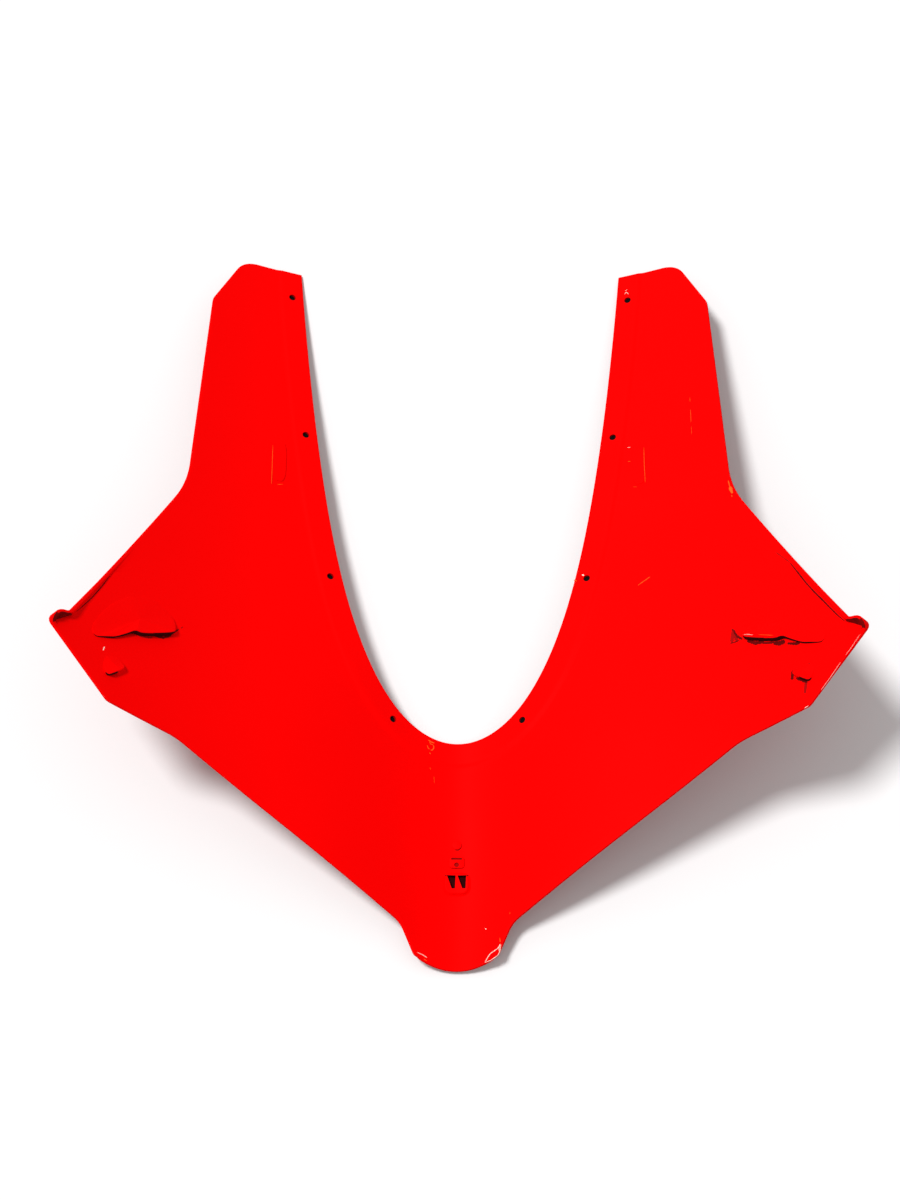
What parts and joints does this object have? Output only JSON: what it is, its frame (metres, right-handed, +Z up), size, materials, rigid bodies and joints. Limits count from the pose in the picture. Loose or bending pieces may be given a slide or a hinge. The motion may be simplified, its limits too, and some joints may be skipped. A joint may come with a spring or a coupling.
{
  "type": "motorcycle fairing",
  "caption": "Red moulded upper fairing for a motorcycle: a V-shaped nose with two side wings and two arms round a U-shaped cut for the screen, seen from inside.",
  "frame": {"origin": "the middle of the bounding box in plan, on the ground that the panel lies on", "axes": "+X across the panel, from wing to wing; +Y from the nose end towards the arm tops; +Z up, out of the hollow inner face"},
  "size_m": [0.6772, 0.6548, 0.1769],
  "materials": {
    "red_plastic": "solid red paint over a moulded plastic panel, satin to gloss, with small chips and scratches"
  },
  "bodies": {
    "root": {"fairing_panel": "red_plastic"}
  },
  "joints": []
}
